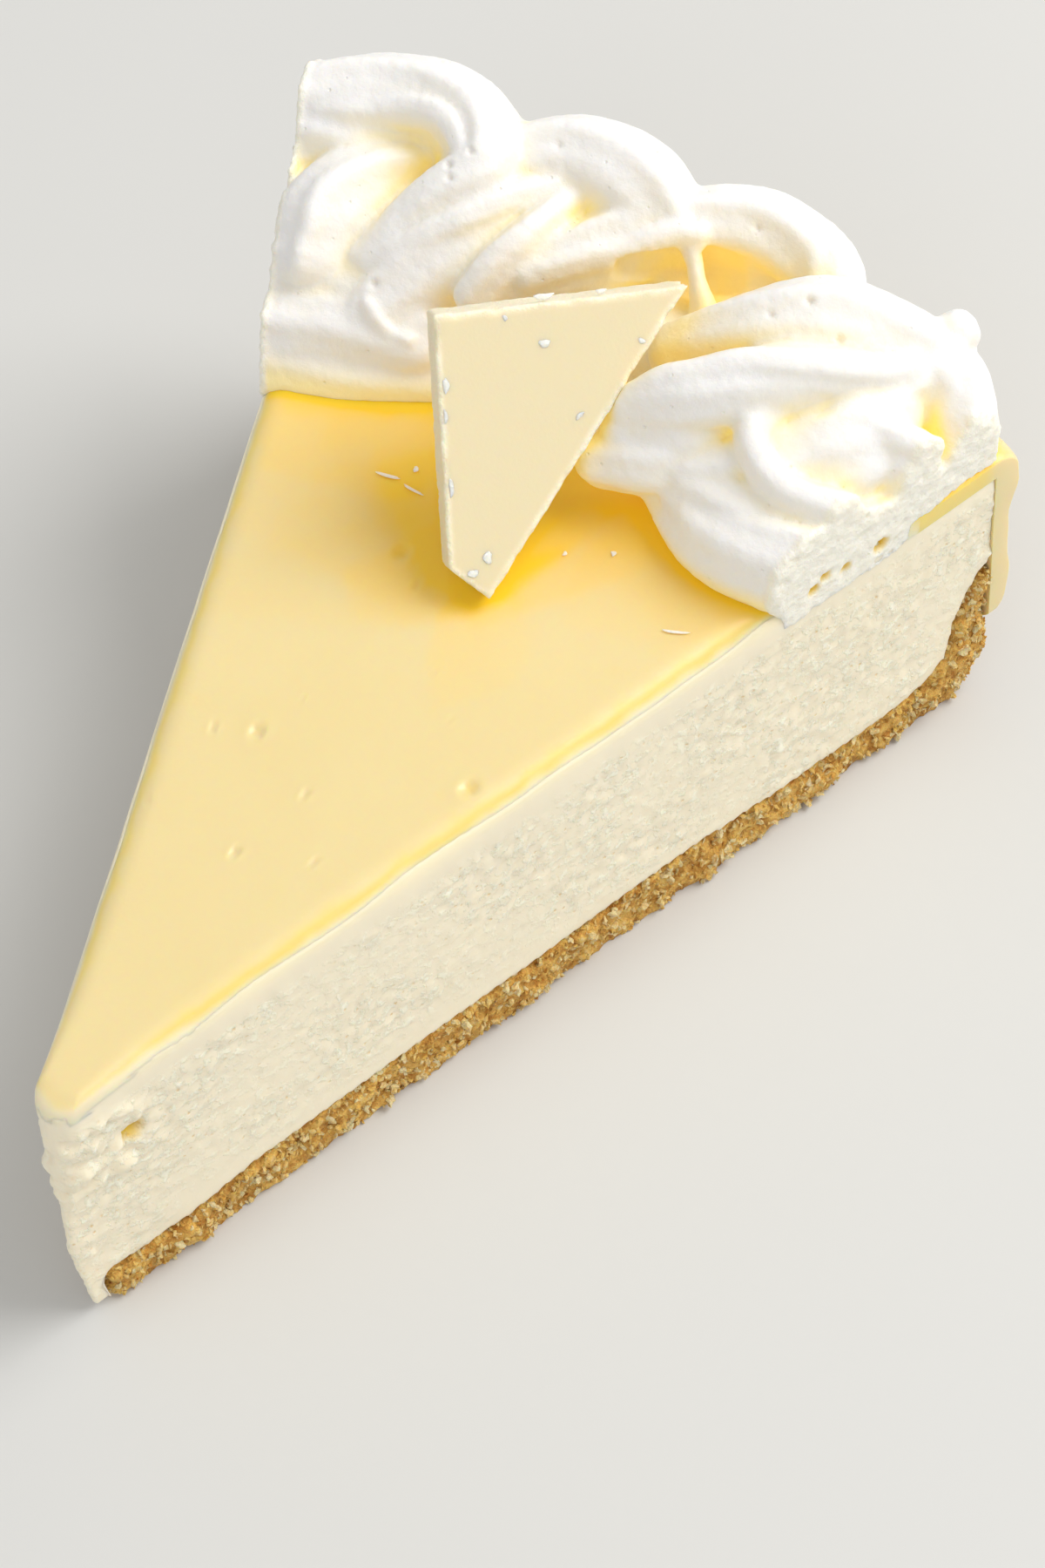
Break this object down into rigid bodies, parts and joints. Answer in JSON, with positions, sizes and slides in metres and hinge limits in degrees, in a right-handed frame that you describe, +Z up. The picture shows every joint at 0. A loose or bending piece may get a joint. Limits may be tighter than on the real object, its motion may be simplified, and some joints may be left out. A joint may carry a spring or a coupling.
{
  "type": "white chocolate cheesecake slice",
  "caption": "Wedge of baked cheesecake on a crumb crust, with a white chocolate ganache that drips at the rim, a piped whipped cream border and a leaning white chocolate piece.",
  "frame": {"origin": "under the middle of the bounding box, at the level the crust stands on", "axes": "+X from the point of the slice to the middle of its rim, +Z up"},
  "size_m": [0.1154, 0.078, 0.0594],
  "materials": {
    "baked_crumb": "coarse baked crumb, matte",
    "cheese_filling": "soft matte with fine pores",
    "white_chocolate_ganache": "satin",
    "whipped_cream": "soft satin",
    "white_chocolate": "satin with scuffed edges"
  },
  "bodies": {
    "root": {"crust": "baked_crumb", "filling": "cheese_filling", "ganache": "white_chocolate_ganache", "whipped_cream": "whipped_cream", "chocolate_shard": "white_chocolate"}
  },
  "joints": []
}
